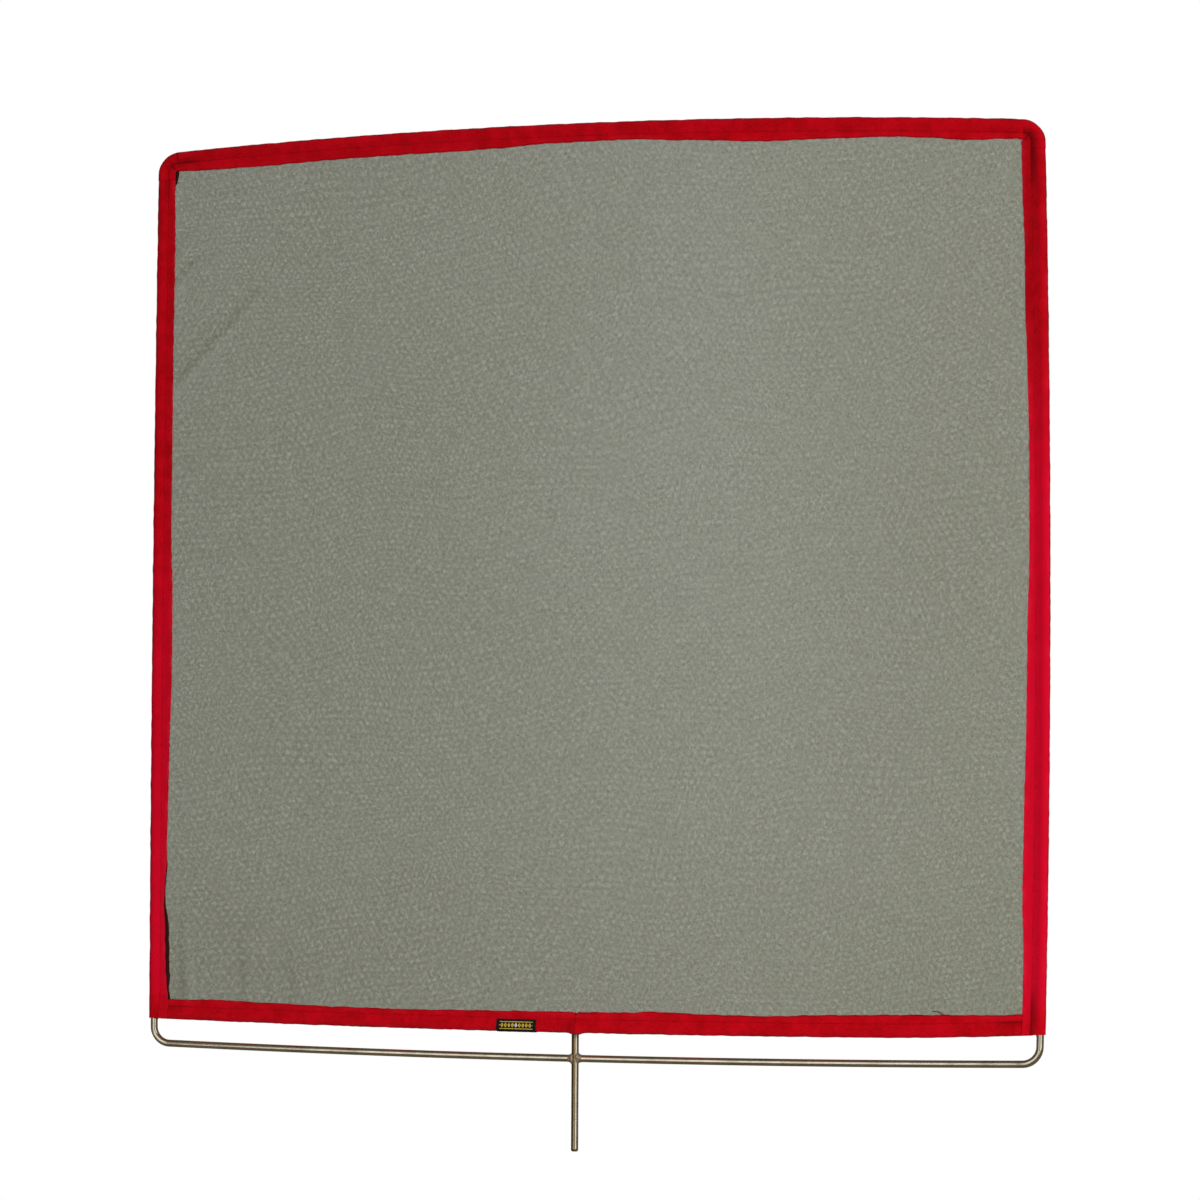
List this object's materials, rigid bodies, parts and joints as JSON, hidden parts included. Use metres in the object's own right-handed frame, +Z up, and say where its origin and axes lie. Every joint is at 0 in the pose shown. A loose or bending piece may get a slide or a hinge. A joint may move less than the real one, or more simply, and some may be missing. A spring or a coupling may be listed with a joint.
{
  "type": "net flag",
  "caption": "Square double net flag for softening light: red-bound net stretched in a bent steel rod frame, with a gripping pin below.",
  "frame": {"origin": "on the pin's axis, at the point where a grip head clamps the pin, halfway between the bottom bar and the pin's lower end", "axes": "+Z up along the pin, towards the net; +X to the right in the picture; the front of the net, which carries the label's face, looks along -Y"},
  "size_m": [1.2311, 0.0182, 1.3642],
  "materials": {
    "steel_rod": "dull nickel-plated rod, brownish from handling",
    "steel_pin": "dull nickel-plated rod with clamp marks",
    "bronze_weld": "brazed bead, uneven",
    "red_tape": "twill cotton binding tape, matt",
    "net": "fine black see-through net",
    "red_thread": "twisted sewing thread",
    "woven_label": "tightly woven satin label"
  },
  "bodies": {
    "root": {"frame_rod": "steel_rod", "crossbar": "steel_rod", "pin": "steel_pin", "weld_bar_left": "bronze_weld", "weld_bar_right": "bronze_weld", "weld_crossbar_left": "bronze_weld", "weld_crossbar_right": "bronze_weld", "weld_pin_crossbar": "bronze_weld", "tape_top": "red_tape", "tape_left": "red_tape", "tape_right": "red_tape", "tape_bottom_left": "red_tape", "tape_bottom_right": "red_tape", "net_front": "net", "net_back": "net", "label": "woven_label", "thread_top_front": "red_thread", "thread_top_back": "red_thread", "thread_left_front": "red_thread", "thread_left_back": "red_thread", "thread_right_front": "red_thread", "thread_right_back": "red_thread", "thread_bottom_left_front": "red_thread", "thread_bottom_left_back": "red_thread", "thread_bottom_right_front": "red_thread", "thread_bottom_right_back": "red_thread"}
  },
  "joints": []
}
